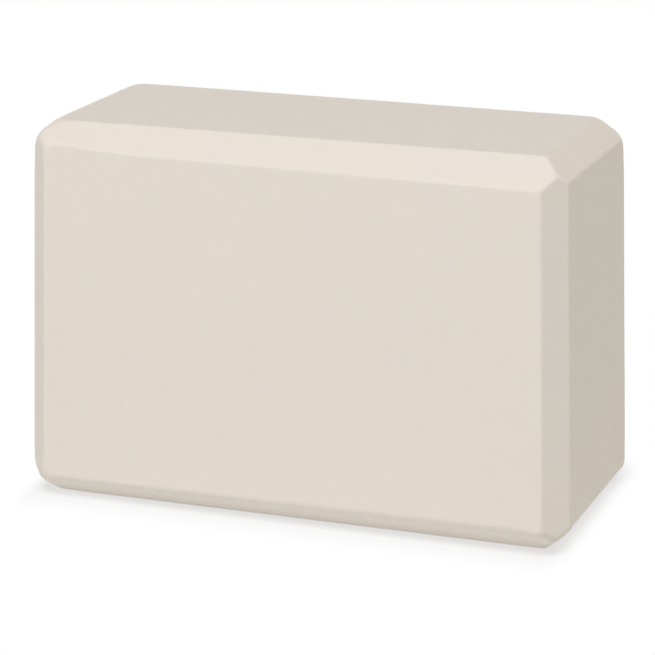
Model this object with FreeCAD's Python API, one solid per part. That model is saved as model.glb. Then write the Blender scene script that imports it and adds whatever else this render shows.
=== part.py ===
"""A foam yoga block: one solid piece of closed-cell foam with a bevel along every edge.

The block stands on one of its two long narrow sides, as a hand would set it down for a middle height.
The origin is the middle of the side that it stands on. +X runs along the length, +Y from the front broad
face to the back one, and +Z is up. All lengths are in millimetres.
"""

import FreeCAD
import Part
import os

from FreeCAD import Vector

# Driving dimensions: the three heights that the block is turned to, and how its edges are eased

LENGTH = 228.6  # between the two ends: the tallest of the three heights
HEIGHT = 152.4  # between the two long narrow sides: the middle height
DEPTH = 101.6  # between the two broad faces: the lowest height
LONG_BEVEL = 10.4  # each leg of the 45-degree bevel along the four long edges
END_BEVEL = 8.7  # each leg of the bevel along the eight edges around the two ends
MITRE_RADIUS = 4.5  # rounding where two bevels meet at a corner
ARRIS_RADIUS = 2.0  # rounding where a bevel meets a flat side

FLAT_SIDES = 6


def bevelled_outline(width, height, bevel):
    """The eight corners of a rectangle about the origin, in order, with its own four corners cut off."""
    side = width / 2
    top = height / 2
    return [
        (bevel - side, -top),
        (side - bevel, -top),
        (side, bevel - top),
        (side, top - bevel),
        (side - bevel, top),
        (bevel - side, top),
        (-side, top - bevel),
        (-side, bevel - top),
    ]


def prism(corners, run):
    """The solid swept by a flat outline along a straight run."""
    return Part.Face(Part.makePolygon(corners + corners[:1])).extrude(run)


def bevelled_blank():
    """The block with flat bevels and sharp arrises, about the origin.

    One eight-sided prism along each axis bevels the four edges that run its way. What the three prisms
    share has all twelve bevels, and at each corner three of them meet in a mitre, at a single point.
    """
    end = -LENGTH / 2
    front = -DEPTH / 2
    base = -HEIGHT / 2
    across_length = bevelled_outline(DEPTH, HEIGHT, LONG_BEVEL)
    across_depth = bevelled_outline(LENGTH, HEIGHT, END_BEVEL)
    across_height = bevelled_outline(LENGTH, DEPTH, END_BEVEL)
    along_x = prism([Vector(end, y, z) for y, z in across_length], Vector(LENGTH, 0, 0))
    along_y = prism([Vector(x, front, z) for x, z in across_depth], Vector(0, DEPTH, 0))
    along_z = prism([Vector(x, y, base) for x, y in across_height], Vector(0, 0, HEIGHT))
    return along_x.common(along_y).common(along_z).removeSplitter().Solids[0]


def arrises(block):
    """The edges of the block's flat sides, which are its six largest faces."""
    sides = sorted(block.Faces, key=lambda face: face.Area)[-FLAT_SIDES:]
    return [edge for side in sides for edge in side.Edges]


def mitres(block):
    """The edges that lie on no flat side: three at each corner, each between two bevels."""
    kept = arrises(block)
    return [edge for edge in block.Edges if not any(edge.isSame(arris) for arris in kept)]


def foam_block():
    """The finished block, standing on the floor plane: the mitres are eased first, and then the arrises.

    The easing of the mitres also rounds the corners of the flat sides, and the arrises follow them round.
    """
    blank = bevelled_blank()
    eased = blank.makeFillet(MITRE_RADIUS, mitres(blank)).Solids[0]
    rounded = eased.makeFillet(ARRIS_RADIUS, arrises(eased)).Solids[0]
    rounded.translate(Vector(0, 0, HEIGHT / 2))
    return rounded


os.makedirs("parts", exist_ok=True)
foam_block().exportStep("parts/foam_block.step")
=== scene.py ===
"""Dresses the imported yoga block: a bevelled block of foam, on a plain floor in soft light.

The file is laid out as an add-on and run as a script. Lengths are in metres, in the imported
model's frame: +X runs along the block, +Y from its front to its back and +Z up, with the
origin under its middle.
"""

import math
from itertools import product

import bmesh
import bpy
from mathutils import Matrix, Vector, noise


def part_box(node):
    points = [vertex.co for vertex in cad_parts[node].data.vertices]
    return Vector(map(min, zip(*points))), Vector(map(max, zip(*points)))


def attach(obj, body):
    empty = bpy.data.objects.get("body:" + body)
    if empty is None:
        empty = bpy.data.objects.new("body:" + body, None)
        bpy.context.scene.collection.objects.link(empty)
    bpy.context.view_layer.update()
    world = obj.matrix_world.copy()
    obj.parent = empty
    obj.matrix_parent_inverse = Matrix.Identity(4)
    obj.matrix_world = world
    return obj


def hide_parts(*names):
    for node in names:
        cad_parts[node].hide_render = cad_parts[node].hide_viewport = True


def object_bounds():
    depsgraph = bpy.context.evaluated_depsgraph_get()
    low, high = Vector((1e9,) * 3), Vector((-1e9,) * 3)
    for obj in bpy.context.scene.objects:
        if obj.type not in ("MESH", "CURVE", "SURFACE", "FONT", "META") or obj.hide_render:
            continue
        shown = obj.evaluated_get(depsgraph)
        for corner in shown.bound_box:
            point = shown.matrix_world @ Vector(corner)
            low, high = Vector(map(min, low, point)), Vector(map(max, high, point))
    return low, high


bl_info = {
    "name": "Yoga Block",
    "version": (1, 0, 0),
    "blender": (4, 5, 0),
    "location": "View3D > Sidebar > Yoga Block",
    "description": "Builds a bevelled foam yoga block and the plain studio that it stands in",
    "category": "Object",
}

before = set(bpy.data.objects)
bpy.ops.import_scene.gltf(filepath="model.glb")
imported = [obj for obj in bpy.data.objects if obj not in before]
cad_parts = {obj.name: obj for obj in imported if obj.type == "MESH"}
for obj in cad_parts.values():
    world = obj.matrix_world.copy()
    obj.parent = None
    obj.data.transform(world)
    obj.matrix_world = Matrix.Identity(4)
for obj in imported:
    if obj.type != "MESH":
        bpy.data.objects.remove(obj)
CAD_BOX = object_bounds()

NODE = "foam_block"


# Settings

class BlockSettings(bpy.types.PropertyGroup):
    """The block's edges, skin and finish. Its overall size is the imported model's."""

    long_bevel: bpy.props.FloatProperty(
        name="Long bevel",
        description="Each leg of the bevel along the four long edges, at the middle of the block",
        default=0.0104,
        unit="LENGTH",
    )
    bevel_growth: bpy.props.FloatProperty(
        name="Bevel growth",
        description="How much wider the long bevels get from the middle to the right end",
        default=0.0009,
        unit="LENGTH",
    )
    run_out: bpy.props.FloatProperty(
        name="Run-out",
        description="How much lower the upper long bevels get towards the left end, as a share",
        subtype="FACTOR",
        min=0,
        max=1,
        default=0.33,
    )
    upright_bevel: bpy.props.FloatProperty(
        name="Upright bevel",
        description="Each leg of the bevel along the four upright edges",
        default=0.0087,
        unit="LENGTH",
    )
    end_bevel: bpy.props.FloatProperty(
        name="End bevel",
        description="Each leg of the bevel along the four level edges of the ends",
        default=0.0092,
        unit="LENGTH",
    )
    end_growth: bpy.props.FloatProperty(
        name="End growth",
        description="How much wider the end bevels get from the middle of the block to its front",
        default=0.0004,
        unit="LENGTH",
    )
    end_lean: bpy.props.FloatProperty(
        name="End lean",
        description="How far in the right end leans at its top",
        default=0.0006,
        unit="LENGTH",
    )
    mitre_radius: bpy.props.FloatProperty(
        name="Mitre radius",
        description="Rounding where two bevels meet at a corner",
        default=0.002,
        unit="LENGTH",
    )
    arris_radius: bpy.props.FloatProperty(
        name="Arris radius",
        description="Rounding where a bevel meets a flat side",
        default=0.002,
        unit="LENGTH",
    )
    foot_arris_radius: bpy.props.FloatProperty(
        name="Foot arris radius",
        description="Rounding of the arrises above the lower bevels, at the middle of the block",
        default=0.0058,
        unit="LENGTH",
    )
    foot_arris_growth: bpy.props.FloatProperty(
        name="Foot arris growth",
        description="How much rounder those arrises get from the middle to the right end",
        default=0.0022,
        unit="LENGTH",
    )
    worn_mitre_radius: bpy.props.FloatProperty(
        name="Worn mitre radius",
        description="Rounding of the mitres at the corners that are worn",
        default=0.0085,
        unit="LENGTH",
    )
    worn_arris_radius: bpy.props.FloatProperty(
        name="Worn arris radius",
        description="Rounding of the arrises at the corners that are worn",
        default=0.006,
        unit="LENGTH",
    )
    fine_quad: bpy.props.FloatProperty(
        name="Fine quad",
        description="Length of the mesh's quads across the edges, before they are drawn in",
        default=0.0007,
        unit="LENGTH",
    )
    broad_quad: bpy.props.FloatProperty(
        name="Broad quad",
        description="Length of the mesh's quads on the flat sides",
        default=0.005,
        unit="LENGTH",
    )
    skin_dip: bpy.props.FloatProperty(
        name="Skin dip",
        description="How far the cut faces dip below their true planes",
        default=0.00008,
        unit="LENGTH",
    )
    bevel_wander: bpy.props.FloatProperty(
        name="Bevel wander",
        description="How much the legs of the bevels vary along an edge",
        default=0.00015,
        unit="LENGTH",
    )
    foam_colour: bpy.props.FloatVectorProperty(
        name="Foam colour",
        description="Main colour of the foam",
        subtype="COLOR",
        size=3,
        min=0,
        max=1,
        default=(0.745, 0.694, 0.617),
    )
    warm_colour: bpy.props.FloatVectorProperty(
        name="Warm colour",
        description="Colour that the foam drifts to in broad, faint clouds",
        subtype="COLOR",
        size=3,
        min=0,
        max=1,
        default=(0.748, 0.690, 0.600),
    )
    cell_size: bpy.props.FloatProperty(
        name="Cell size",
        description="Width of the foam's cut cells",
        default=0.0004,
        unit="LENGTH",
    )
    cell_depth: bpy.props.FloatProperty(
        name="Cell depth",
        description="Depth of the cups that the cut cells leave in the skin",
        default=0.00004,
        unit="LENGTH",
    )
    roughness: bpy.props.FloatProperty(
        name="Roughness",
        description="How matt the skin is",
        subtype="FACTOR",
        min=0,
        max=1,
        default=0.8,
    )


class StageSettings(bpy.types.PropertyGroup):
    """The camera, the lamps and the floor."""

    heading: bpy.props.FloatProperty(
        name="Camera heading",
        description="How far the camera is turned to its left of straight ahead",
        subtype="ANGLE",
        default=math.radians(20.03),
    )
    eye: bpy.props.FloatVectorProperty(
        name="Camera place",
        description="Where the camera stands",
        subtype="TRANSLATION",
        default=(0.3996, -1.0719, 0.3858),
    )
    target: bpy.props.FloatVectorProperty(
        name="Camera target",
        description="The point that the middle of the picture shows",
        subtype="TRANSLATION",
        default=(-0.0009, 0.0, 0.0656),
    )
    lens: bpy.props.FloatProperty(
        name="Lens",
        description="Focal length, in millimetres on a 36 mm sensor",
        default=158.35,
    )
    sky: bpy.props.FloatProperty(
        name="Sky",
        description="Strength of the even light from all round",
        default=0.06,
        min=0,
    )
    left_power: bpy.props.FloatProperty(
        name="Left strip",
        description="Power of the lamp in front and to the left",
        default=76.0,
        unit="POWER",
    )
    right_power: bpy.props.FloatProperty(
        name="Right strip",
        description="Power of the low lamp to the right",
        default=64.3,
        unit="POWER",
    )
    top_power: bpy.props.FloatProperty(
        name="Top panel",
        description="Power of the lamp overhead",
        default=139.0,
        unit="POWER",
    )
    back_power: bpy.props.FloatProperty(
        name="Back strip",
        description="Power of the low lamp behind",
        default=20.0,
        unit="POWER",
    )
    floor_colour: bpy.props.FloatVectorProperty(
        name="Floor colour",
        description="Colour of the lit table that the block stands on",
        subtype="COLOR",
        size=3,
        min=0,
        max=1,
        default=(0.4, 0.4, 0.4),
    )
    shown_colour: bpy.props.FloatVectorProperty(
        name="Shown floor colour",
        description="Colour of the table where it is seen, close to the block",
        subtype="COLOR",
        size=3,
        min=0,
        max=1,
        default=(0.73, 0.73, 0.73),
    )
    floor_glow: bpy.props.FloatProperty(
        name="Floor glow",
        description="Light that the table sends up of its own",
        default=0.445,
        min=0,
    )
    shadow_fade: bpy.props.FloatProperty(
        name="Shadow fade",
        description="How much of the block's shadow is washed out where the table is seen",
        subtype="FACTOR",
        default=0.60,
        min=0,
        max=1,
    )


# Shader expressions

SEEN_RAYS = ("Is Camera Ray", "Is Glossy Ray", "Is Transmission Ray")

# The Mix node's inputs for a share and two colours, and its output for their mix
MIX_INPUTS = (0, 6, 7)
MIX_OUTPUT = 2


class Wire:
    """One output of a shader node, whose sums and products add the Math nodes for them."""

    def __init__(self, graph, socket):
        self.graph = graph
        self.socket = socket

    def __add__(self, other):
        return self.graph.math("ADD", self, other)

    def __sub__(self, other):
        return self.graph.math("SUBTRACT", self, other)

    def __rsub__(self, other):
        return self.graph.math("SUBTRACT", other, self)

    def __mul__(self, other):
        return self.graph.math("MULTIPLY", self, other)

    __radd__ = __add__
    __rmul__ = __mul__


class Graph:
    """The emptied node tree of a material or a world, with the calls that fill it."""

    def __init__(self, owner):
        owner.use_nodes = True
        self.tree = owner.node_tree
        self.tree.nodes.clear()

    def node(self, kind, settings, sockets, out=0):
        """Adds a node, sets it up, fills or links its inputs, and gives one of its outputs."""
        made = self.tree.nodes.new(kind)
        for name, value in settings.items():
            setattr(made, name, value)
        for name, value in sockets.items():
            if isinstance(value, Wire):
                self.tree.links.new(value.socket, made.inputs[name])
            else:
                made.inputs[name].default_value = value
        return Wire(self, made.outputs[out]) if len(made.outputs) else None

    def math(self, operation, first, second):
        return self.node("ShaderNodeMath", {"operation": operation}, {0: first, 1: second})

    def root(self, value):
        return self.math("POWER", value, 0.5)

    def mix_colours(self, share, first, second):
        sockets = dict(zip(MIX_INPUTS, (share, first, second)))
        return self.node("ShaderNodeMix", {"data_type": "RGBA"}, sockets, MIX_OUTPUT)

    def scale_colour(self, colour, factor):
        settings = {"operation": "SCALE"}
        return self.node("ShaderNodeVectorMath", settings, {"Vector": colour, "Scale": factor})

    def clouds(self, place, width, detail):
        """Soft noise from 0 to 1 whose lumps are about as wide as said."""
        sockets = {"Vector": place, "Scale": 1 / width, "Detail": detail}
        return self.node("ShaderNodeTexNoise", {}, sockets)

    def ramp(self, value, low, high):
        """0 up to one value, 1 from another, and a smooth rise between them."""
        settings = {"interpolation_type": "SMOOTHSTEP"}
        sockets = {"Value": value, "From Min": low, "From Max": high}
        return self.node("ShaderNodeMapRange", settings, sockets)

    def seen(self):
        """1 for what is seen, straight or in gloss or glass, and 0 for light on its way."""
        rays = [self.node("ShaderNodeLightPath", {}, {}, out) for out in SEEN_RAYS]
        return self.math("MAXIMUM", self.math("MAXIMUM", rays[0], rays[1]), rays[2])


def opaque(colour):
    return (*colour, 1.0)


# Objects

def add_object(context, name, data):
    made = bpy.data.objects.new(name, data)
    context.scene.collection.objects.link(made)
    return made


# The block's mesh

AXES = (Vector((1, 0, 0)), Vector((0, 1, 0)), Vector((0, 0, 1)))

# The ways that the flat sides and the bevels look
PLANES = [
    Vector(way).normalized()
    for way in product((-1, 0, 1), repeat=3)
    if 0 < sum(map(abs, way)) < 3
]

# How far the skin turns at an arris and at a mitre
ARRIS_TURN = math.radians(45)
MITRE_TURN = math.radians(60)

# How far in from its edges a side of the box is ruled closely
EDGE_MARGIN = 0.016

# Width of the hollows in the flat sides, and length of the bevels' wandering
SKIN_WAVE = 0.045
WANDER_WAVE = 0.02

# Where a corner's wear starts to fade and where it ends, by distance from the corner
WORN_REACH = (0.010, 0.025)

# Where the rounder foot arrises begin and where they are full: below the middle, and off a mitre
FOOT_REACH = (0.045, 0.062)
MITRE_REACH = (0.0, 0.006)

# Where the upper long bevels start to run out and where they are lowest, left of the middle
RUN_OUT_REACH = (0.065, 0.125)

# How often a vertex is moved to meet the skin, and the step that its normal is measured with
DRAW_STEPS = 14
NUDGE = 1e-5

# In the lists below, 1 stands for right, back or top, and -1 for left, front or bottom

# The long bevels' legs as shares of their setting, above and below: across the depth, and up
LONG_SHARES = {1: (1.0, 1.0), -1: (1.06, 0.83)}

# The same for the level bevels of the ends, by end and above or below: along the length, and up
END_SHARES = {
    (1, 1): (0.99, 0.96),
    (1, -1): (1.11, 0.97),
    (-1, 1): (0.97, 0.78),
    (-1, -1): (1.0, 0.92),
}

# The same for the upright bevels, in front and behind: along the length, and across the depth
UPRIGHT_SHARES = {-1: (1.0, 1.0), 1: (1.0, 0.87)}

# How worn some corners are. A corner that isn't listed is fully worn.
WEAR = {(1, -1, 1): 0.0, (1, -1, -1): 0.4, (1, 1, -1): 0.5, (-1, -1, -1): 0.8}

# The mark along the edges that the finish reads: it makes the skin smoother there, and lighter with
# a painted highlight
ARRIS = "arris"


def between(low, high, share):
    return low + (high - low) * share


def smooth_step(value, low, high):
    """0 up to one value, 1 from another, and a smooth rise between them."""
    share = min(1.0, max(0.0, (value - low) / (high - low)))
    return share * share * (3 - 2 * share)


def dip(place, wave):
    """A smooth random share from 0 to 1, with hollows about as wide as said."""
    return (1 + noise.noise(place / wave)) / 2


def blend_width(radius, turn):
    """How wide two heights have to blend for surfaces at an angle to meet in an arc."""
    return 2 * radius * math.sin(turn / 2) ** 2


def blend(first, second, width):
    """The greater of two heights, with a round passage where they differ by less than a width."""
    overlap = max(0.0, width - abs(first - second))
    return max(first, second) + overlap * overlap / (4 * width)


def above_bevel(first, second, first_leg, second_leg):
    """How far a place is above a bevel, from its heights above two sides and the legs on them."""
    return (first / first_leg + second / second_leg + 1) / math.hypot(1 / first_leg, 1 / second_leg)


def bevel_heights(place, sides, corner, half, settings):
    """How far a place is above the upright, the level and the long bevel of its corner."""
    end, broad, narrow = sides
    wander = settings.bevel_wander * dip(place, WANDER_WAVE)
    upright = settings.upright_bevel + wander
    level = settings.end_bevel - settings.end_growth * place.y / half.y + wander
    long = settings.long_bevel + settings.bevel_growth * place.x / half.x + wander
    long_deep, long_high = (long * share for share in LONG_SHARES[corner[2]])
    if place.z > 0:
        long_high *= 1 - settings.run_out * smooth_step(-place.x, *RUN_OUT_REACH)
    return (
        above_bevel(end, broad, *(upright * share for share in UPRIGHT_SHARES[corner[1]])),
        above_bevel(end, narrow, *(level * share for share in END_SHARES[corner[0], corner[2]])),
        above_bevel(broad, narrow, long_deep, long_high),
    )


def unworn_arris(place, sides, bevels, half, settings):
    """How round the arrises near a place are, apart from wear. Those around the top and the
    underside are keen, and so are the upright ones."""
    end, broad, narrow = sides
    if max(end, broad) <= narrow:
        return settings.arris_radius
    upright, level, long = bevels
    from_mitre = max(level, long) - upright
    low = smooth_step(-place.z, *FOOT_REACH) * smooth_step(from_mitre, *MITRE_REACH)
    foot = settings.foot_arris_radius + settings.foot_arris_growth * place.x / half.x
    return between(settings.arris_radius, foot, low)


def height_above(place, half, settings):
    """How far a place, given from the block's middle, is above the block's skin.

    The skin is the flat sides and the bevels together, with a round passage from each to the
    next. All corners but one are worn rounder than the edges between them.
    """
    end, broad, narrow = (abs(value) - reach for value, reach in zip(place, half))
    if place.x > 0:
        end += settings.end_lean * (1 + place.z / half.z) / 2
    sides = (end, broad, narrow)
    corner = tuple(1 if value > 0 else -1 for value in place)
    bevels = bevel_heights(place, sides, corner, half, settings)
    worn = WEAR.get(corner, 1.0) * (1 - smooth_step(math.hypot(*sides), *WORN_REACH))
    mitre_radius = between(settings.mitre_radius, settings.worn_mitre_radius, worn)
    arris_radius = between(
        unworn_arris(place, sides, bevels, half, settings), settings.worn_arris_radius, worn
    )
    mitre = blend_width(mitre_radius, MITRE_TURN)
    arris = blend_width(arris_radius, ARRIS_TURN)
    upright, level, long = bevels
    bevelled = blend(blend(upright, level, mitre), long, mitre)
    return blend(max(sides), bevelled, arris) + settings.skin_dip * dip(place, SKIN_WAVE)


def rulings(reach, settings):
    """Where a box is ruled along one axis: closely near its edges, and broadly between them."""
    fine = round(EDGE_MARGIN / settings.fine_quad)
    edge = [reach - EDGE_MARGIN * k / fine for k in range(fine)]
    inner = reach - EDGE_MARGIN
    broad = round(2 * inner / settings.broad_quad)
    middle = [inner * (2 * k / broad - 1) for k in range(broad + 1)]
    return [-place for place in edge] + middle + edge[::-1]


def ruled_box(half, settings):
    """A closed box of quads about the origin."""
    lines = [rulings(reach, settings) for reach in half]
    mesh = bmesh.new()
    made = {}

    def vertex(index):
        if index not in made:
            made[index] = mesh.verts.new([ruled[k] for ruled, k in zip(lines, index)])
        return made[index]

    for axis in range(3):
        last = [len(ruled) - 1 for ruled in lines[axis:] + lines[:axis]]
        for side, i, j in product((0, last[0]), range(last[1]), range(last[2])):
            ring = [(side, i, j), (side, i + 1, j), (side, i + 1, j + 1), (side, i, j + 1)]
            turned = [corner[-axis:] + corner[:-axis] if axis else corner for corner in ring]
            quad = [vertex(index) for index in turned]
            mesh.faces.new(quad if side else quad[::-1])
    return mesh


def drawn_in(place, half, settings):
    """Where the straight way from a box's side to its core meets the block's skin."""
    inner = [reach - EDGE_MARGIN for reach in half]
    core = Vector(max(-reach, min(reach, value)) for value, reach in zip(place, inner))
    way = (core - place).normalized()
    for _ in range(DRAW_STEPS):
        place = place + way * height_above(place, half, settings)
    return place


def skin_normal(place, half, settings):
    """The way that the block's skin looks at a place on it."""
    rises = [
        height_above(place + nudge, half, settings) - height_above(place - nudge, half, settings)
        for nudge in (axis * NUDGE for axis in AXES)
    ]
    return Vector(rises).normalized()


def off_planes(normal):
    """How far a normal is turned off the sides and the bevels: 1 in the middle of an arris."""
    return min(1.0, min(normal.angle(plane) for plane in PLANES) / (ARRIS_TURN / 2))


def block_mesh(low, high, settings):
    """The block between two corners: one closed mesh, with normals and a mark along its edges."""
    half = (high - low) / 2
    middle = (high + low) / 2
    mesh = ruled_box(half, settings)
    arris = mesh.verts.layers.float.new(ARRIS)
    normals = []
    for vertex in mesh.verts:
        place = drawn_in(vertex.co, half, settings)
        normal = skin_normal(place, half, settings)
        vertex.co = place + middle
        vertex[arris] = off_planes(normal)
        normals.append(normal)
    data = bpy.data.meshes.new("bevelled_block")
    mesh.to_mesh(data)
    mesh.free()
    data.shade_smooth()
    data.normals_split_custom_set_from_vertices(normals)
    return data


# The block's finish

# Width of the lumps in each kind of noise, its detail, and the middle of its range
CLOUD_WIDTH = 0.05
MOTTLE_WIDTH = 0.007
GRAIN_WIDTH = 0.0013
CLOUD_DETAIL = 2.0
MOTTLE_DETAIL = 3.0
GRAIN_DETAIL = 2.0
NOISE_MIDDLE = 0.5

# How much each of these changes the foam's brightness
CLOUD_SHARE = 0.020
MOTTLE_SHARE = 0.020
GRAIN_SHARE = 0.030
CELL_SHARE = 0.050
# Along the arrises the foam's colour is lightened: a painted highlight
ARRIS_HIGHLIGHT_SHARE = 0.015

# How much the mottling and the arrises change its roughness
MOTTLE_ROUGHNESS_SHARE = 0.12
ARRIS_ROUGHNESS_SHARE = -0.06

GRAIN_DEPTH = 0.00003
SPECULAR_LEVEL = 0.3


def foam_material(settings):
    """Matt cream foam with cut cells, faintly clouded, and smoother along the edges, where a faint
    painted highlight also makes it lighter.
    """
    material = bpy.data.materials.new("cream_foam")
    graph = Graph(material)
    place = graph.node("ShaderNodeTexCoord", {}, {}, "Object")
    arris = graph.node("ShaderNodeAttribute", {"attribute_name": ARRIS}, {}, "Fac")
    cloud = graph.clouds(place, CLOUD_WIDTH, CLOUD_DETAIL)
    mottle = graph.clouds(place, MOTTLE_WIDTH, MOTTLE_DETAIL)
    grain = graph.clouds(place, GRAIN_WIDTH, GRAIN_DETAIL)
    cells = graph.node(
        "ShaderNodeTexVoronoi", {}, {"Vector": place, "Scale": 1 / settings.cell_size}, "Distance"
    )
    # Brightness of the foam: its clouds, mottle, grain and cells, and a painted highlight along the
    # arrises
    tone_and_highlight = (
        1
        + CLOUD_SHARE * (cloud - NOISE_MIDDLE)
        + MOTTLE_SHARE * (mottle - NOISE_MIDDLE)
        + GRAIN_SHARE * (grain - NOISE_MIDDLE)
        + CELL_SHARE * (cells - NOISE_MIDDLE)
        + ARRIS_HIGHLIGHT_SHARE * arris
    )
    tint = graph.mix_colours(cloud, opaque(settings.foam_colour), opaque(settings.warm_colour))
    roughness = (
        settings.roughness
        + MOTTLE_ROUGHNESS_SHARE * (mottle - NOISE_MIDDLE)
        + ARRIS_ROUGHNESS_SHARE * arris
    )
    grain_bump = graph.node(
        "ShaderNodeBump", {}, {"Strength": 1.0, "Distance": GRAIN_DEPTH, "Height": grain}
    )
    cell_bump = graph.node(
        "ShaderNodeBump",
        {},
        {"Strength": 1.0, "Distance": settings.cell_depth, "Height": cells, "Normal": grain_bump},
    )
    foam = graph.node(
        "ShaderNodeBsdfPrincipled",
        {},
        {
            "Base Color": graph.scale_colour(tint, tone_and_highlight),
            "Roughness": roughness,
            "Normal": cell_bump,
            "Specular IOR Level": SPECULAR_LEVEL,
        },
    )
    graph.node("ShaderNodeOutputMaterial", {}, {"Surface": foam})
    return material


class YOGABLOCK_OT_block(bpy.types.Operator):
    """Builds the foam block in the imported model's place"""

    bl_idname = "yoga_block.block"
    bl_label = "Foam Block"

    def execute(self, context):
        settings = context.scene.yoga_block
        data = block_mesh(*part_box(NODE), settings)
        data.materials.append(foam_material(settings))
        block = add_object(context, "bevelled_block", data)
        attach(block, "root")
        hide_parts(NODE)
        return {"FINISHED"}


# The stage

WHITE = (1, 1, 1, 1)
SENSOR_WIDTH = 36.0

# How far the floor goes each way, and how far it is below the block's underside
FLOOR_REACH = 8.0
FLOOR_DROP = 0.0001

# Where the shown floor starts to fade and where it is white, past each side of the block
FADE_RIGHT = (-0.0095, 0.0035)
FADE_LEFT = (-0.006, 0.006)
FADE_FRONT = (-0.013, 0.018)
FADE_BACK = (0.002, 0.030)

# Azimuth, from the front to the right, elevation, distance, width, height and colour of each lamp
LAMPS = {
    "left": (-45, 6, 5.5, 3.0, 1.0, (1, 1, 1)),
    "right": (115, 6, 5.5, 3.0, 1.0, (1, 0.955, 0.88)),
    "top": (15, 60, 4.0, 2.25, 2.25, (1, 0.995, 1.02)),
    "back": (-160, 4, 2.2, 1.2, 0.4, (1, 1, 1)),
}


def past_sides(graph, place, axis, low, high, low_fade, high_fade):
    """How far the floor is past two sides: 0 where its fade starts, 1 where it is white."""
    along = graph.node("ShaderNodeSeparateXYZ", {}, {"Vector": place}, axis)
    before = (low - low_fade[0] - along) * (1 / (low_fade[1] - low_fade[0]))
    after = (along - high - high_fade[0]) * (1 / (high_fade[1] - high_fade[0]))
    return graph.math("MAXIMUM", graph.math("MAXIMUM", before, after), 0.0)


def floor_material(settings):
    """A lit table. It is seen as plain white, apart from the block's shadow beside its foot."""
    material = bpy.data.materials.new("lit_table")
    graph = Graph(material)
    place = graph.node("ShaderNodeTexCoord", {}, {}, "Object")
    matt = graph.node("ShaderNodeBsdfDiffuse", {}, {"Color": opaque(settings.floor_colour)})
    glow = graph.node("ShaderNodeEmission", {}, {"Strength": settings.floor_glow})
    table = graph.node("ShaderNodeAddShader", {}, {0: matt, 1: glow})
    shaded = graph.node("ShaderNodeBsdfDiffuse", {}, {"Color": opaque(settings.shown_colour)})
    white = graph.node("ShaderNodeEmission", {}, {"Strength": 1.0})
    low, high = CAD_BOX
    length = past_sides(graph, place, "X", low.x, high.x, FADE_LEFT, FADE_RIGHT)
    depth = past_sides(graph, place, "Y", low.y, high.y, FADE_FRONT, FADE_BACK)
    away = graph.ramp(graph.root(length * length + depth * depth), 0.0, 1.0)
    fade = settings.shadow_fade + (1 - settings.shadow_fade) * away
    ground = graph.node("ShaderNodeMixShader", {}, {0: fade, 1: shaded, 2: white})
    shown = graph.node("ShaderNodeMixShader", {}, {0: graph.seen(), 1: table, 2: ground})
    graph.node("ShaderNodeOutputMaterial", {}, {"Surface": shown})
    return material


def add_floor(context, settings):
    data = bpy.data.meshes.new("floor")
    level = CAD_BOX[0].z - FLOOR_DROP
    ways = ((-1, -1), (1, -1), (1, 1), (-1, 1))
    corners = [(x * FLOOR_REACH, y * FLOOR_REACH, level) for x, y in ways]
    data.from_pydata(corners, [], [(0, 1, 2, 3)])
    data.materials.append(floor_material(settings))
    add_object(context, "floor", data)


def set_sky(context, settings):
    """Even light from all round, behind a white background."""
    world = bpy.data.worlds.new("white_room")
    graph = Graph(world)
    light = graph.node("ShaderNodeBackground", {}, {"Color": WHITE, "Strength": settings.sky})
    white = graph.node("ShaderNodeBackground", {}, {"Color": WHITE, "Strength": 1.0})
    shown = graph.node("ShaderNodeMixShader", {}, {0: graph.seen(), 1: light, 2: white})
    graph.node("ShaderNodeOutputWorld", {}, {"Surface": shown})
    context.scene.world = world


def add_lamp(context, name, power):
    """A soft lamp from the list, which looks at the middle of the block."""
    azimuth, elevation, distance, width, height, colour = LAMPS[name]
    turn = math.radians(azimuth)
    rise = math.radians(elevation)
    level = math.cos(rise)
    back = Vector((math.sin(turn) * level, -math.cos(turn) * level, math.sin(rise)))
    data = bpy.data.lights.new(f"{name}_lamp", "AREA")
    data.shape = "RECTANGLE"
    data.size = width
    data.size_y = height
    data.energy = power
    data.color = colour
    lamp = add_object(context, data.name, data)
    lamp.location = (CAD_BOX[0] + CAD_BOX[1]) / 2 + back * distance
    lamp.rotation_euler = back.to_track_quat("Z", "Y").to_euler()


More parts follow.
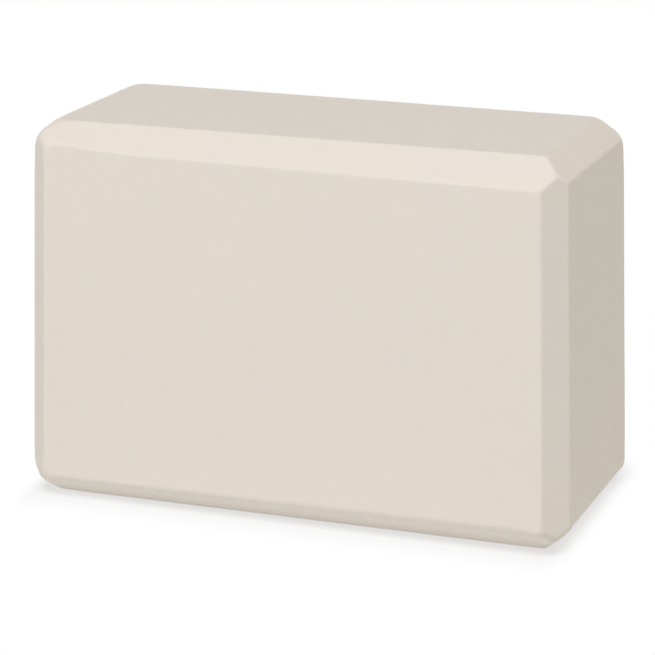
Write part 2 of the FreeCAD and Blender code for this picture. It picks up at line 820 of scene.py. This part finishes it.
def add_camera(context, settings):
    """A camera whose back stays upright, so that the block's upright edges stay parallel.

    The camera looks down at the block, but its picture's sides keep level and upright. The
    slant between its line of sight and its back is in its link to its stand.
    """
    data = bpy.data.cameras.new("camera")
    data.sensor_width = SENSOR_WIDTH
    data.lens = settings.lens
    camera = add_object(context, "camera", data)
    eye = Vector(settings.eye)
    sight = (eye - Vector(settings.target)).normalized()
    across = Vector((math.cos(settings.heading), math.sin(settings.heading), 0))
    slant = Matrix((across, AXES[2], sight)).transposed().to_4x4()
    slant.translation = eye
    camera.parent = add_object(context, "camera_stand", None)
    camera.matrix_parent_inverse = slant
    context.scene.camera = camera


class YOGABLOCK_OT_stage(bpy.types.Operator):
    """Sets up the floor, the light and the camera"""

    bl_idname = "yoga_block.stage"
    bl_label = "Stage"

    def execute(self, context):
        settings = context.scene.yoga_block_stage
        add_floor(context, settings)
        set_sky(context, settings)
        for name in LAMPS:
            add_lamp(context, name, getattr(settings, f"{name}_power"))
        add_camera(context, settings)
        context.scene.view_settings.view_transform = "Standard"
        return {"FINISHED"}


class YOGABLOCK_PT_panel(bpy.types.Panel):
    """Lists the settings and the steps that build the block"""

    bl_label = "Yoga Block"
    bl_idname = "YOGABLOCK_PT_panel"
    bl_space_type = "VIEW_3D"
    bl_region_type = "UI"
    bl_category = "Yoga Block"

    def draw(self, context):
        for settings, operator in (
            (context.scene.yoga_block, YOGABLOCK_OT_block),
            (context.scene.yoga_block_stage, YOGABLOCK_OT_stage),
        ):
            box = self.layout.box()
            for name in settings.__annotations__:
                box.prop(settings, name)
            box.operator(operator.bl_idname)


CLASSES = (BlockSettings, StageSettings, YOGABLOCK_OT_block, YOGABLOCK_OT_stage, YOGABLOCK_PT_panel)


def register():
    for made in CLASSES:
        bpy.utils.register_class(made)
    bpy.types.Scene.yoga_block = bpy.props.PointerProperty(type=BlockSettings)
    bpy.types.Scene.yoga_block_stage = bpy.props.PointerProperty(type=StageSettings)


def unregister():
    del bpy.types.Scene.yoga_block_stage
    del bpy.types.Scene.yoga_block
    for made in reversed(CLASSES):
        bpy.utils.unregister_class(made)


def main():
    register()
    bpy.ops.yoga_block.block()
    bpy.ops.yoga_block.stage()


if __name__ == "__main__":
    main()
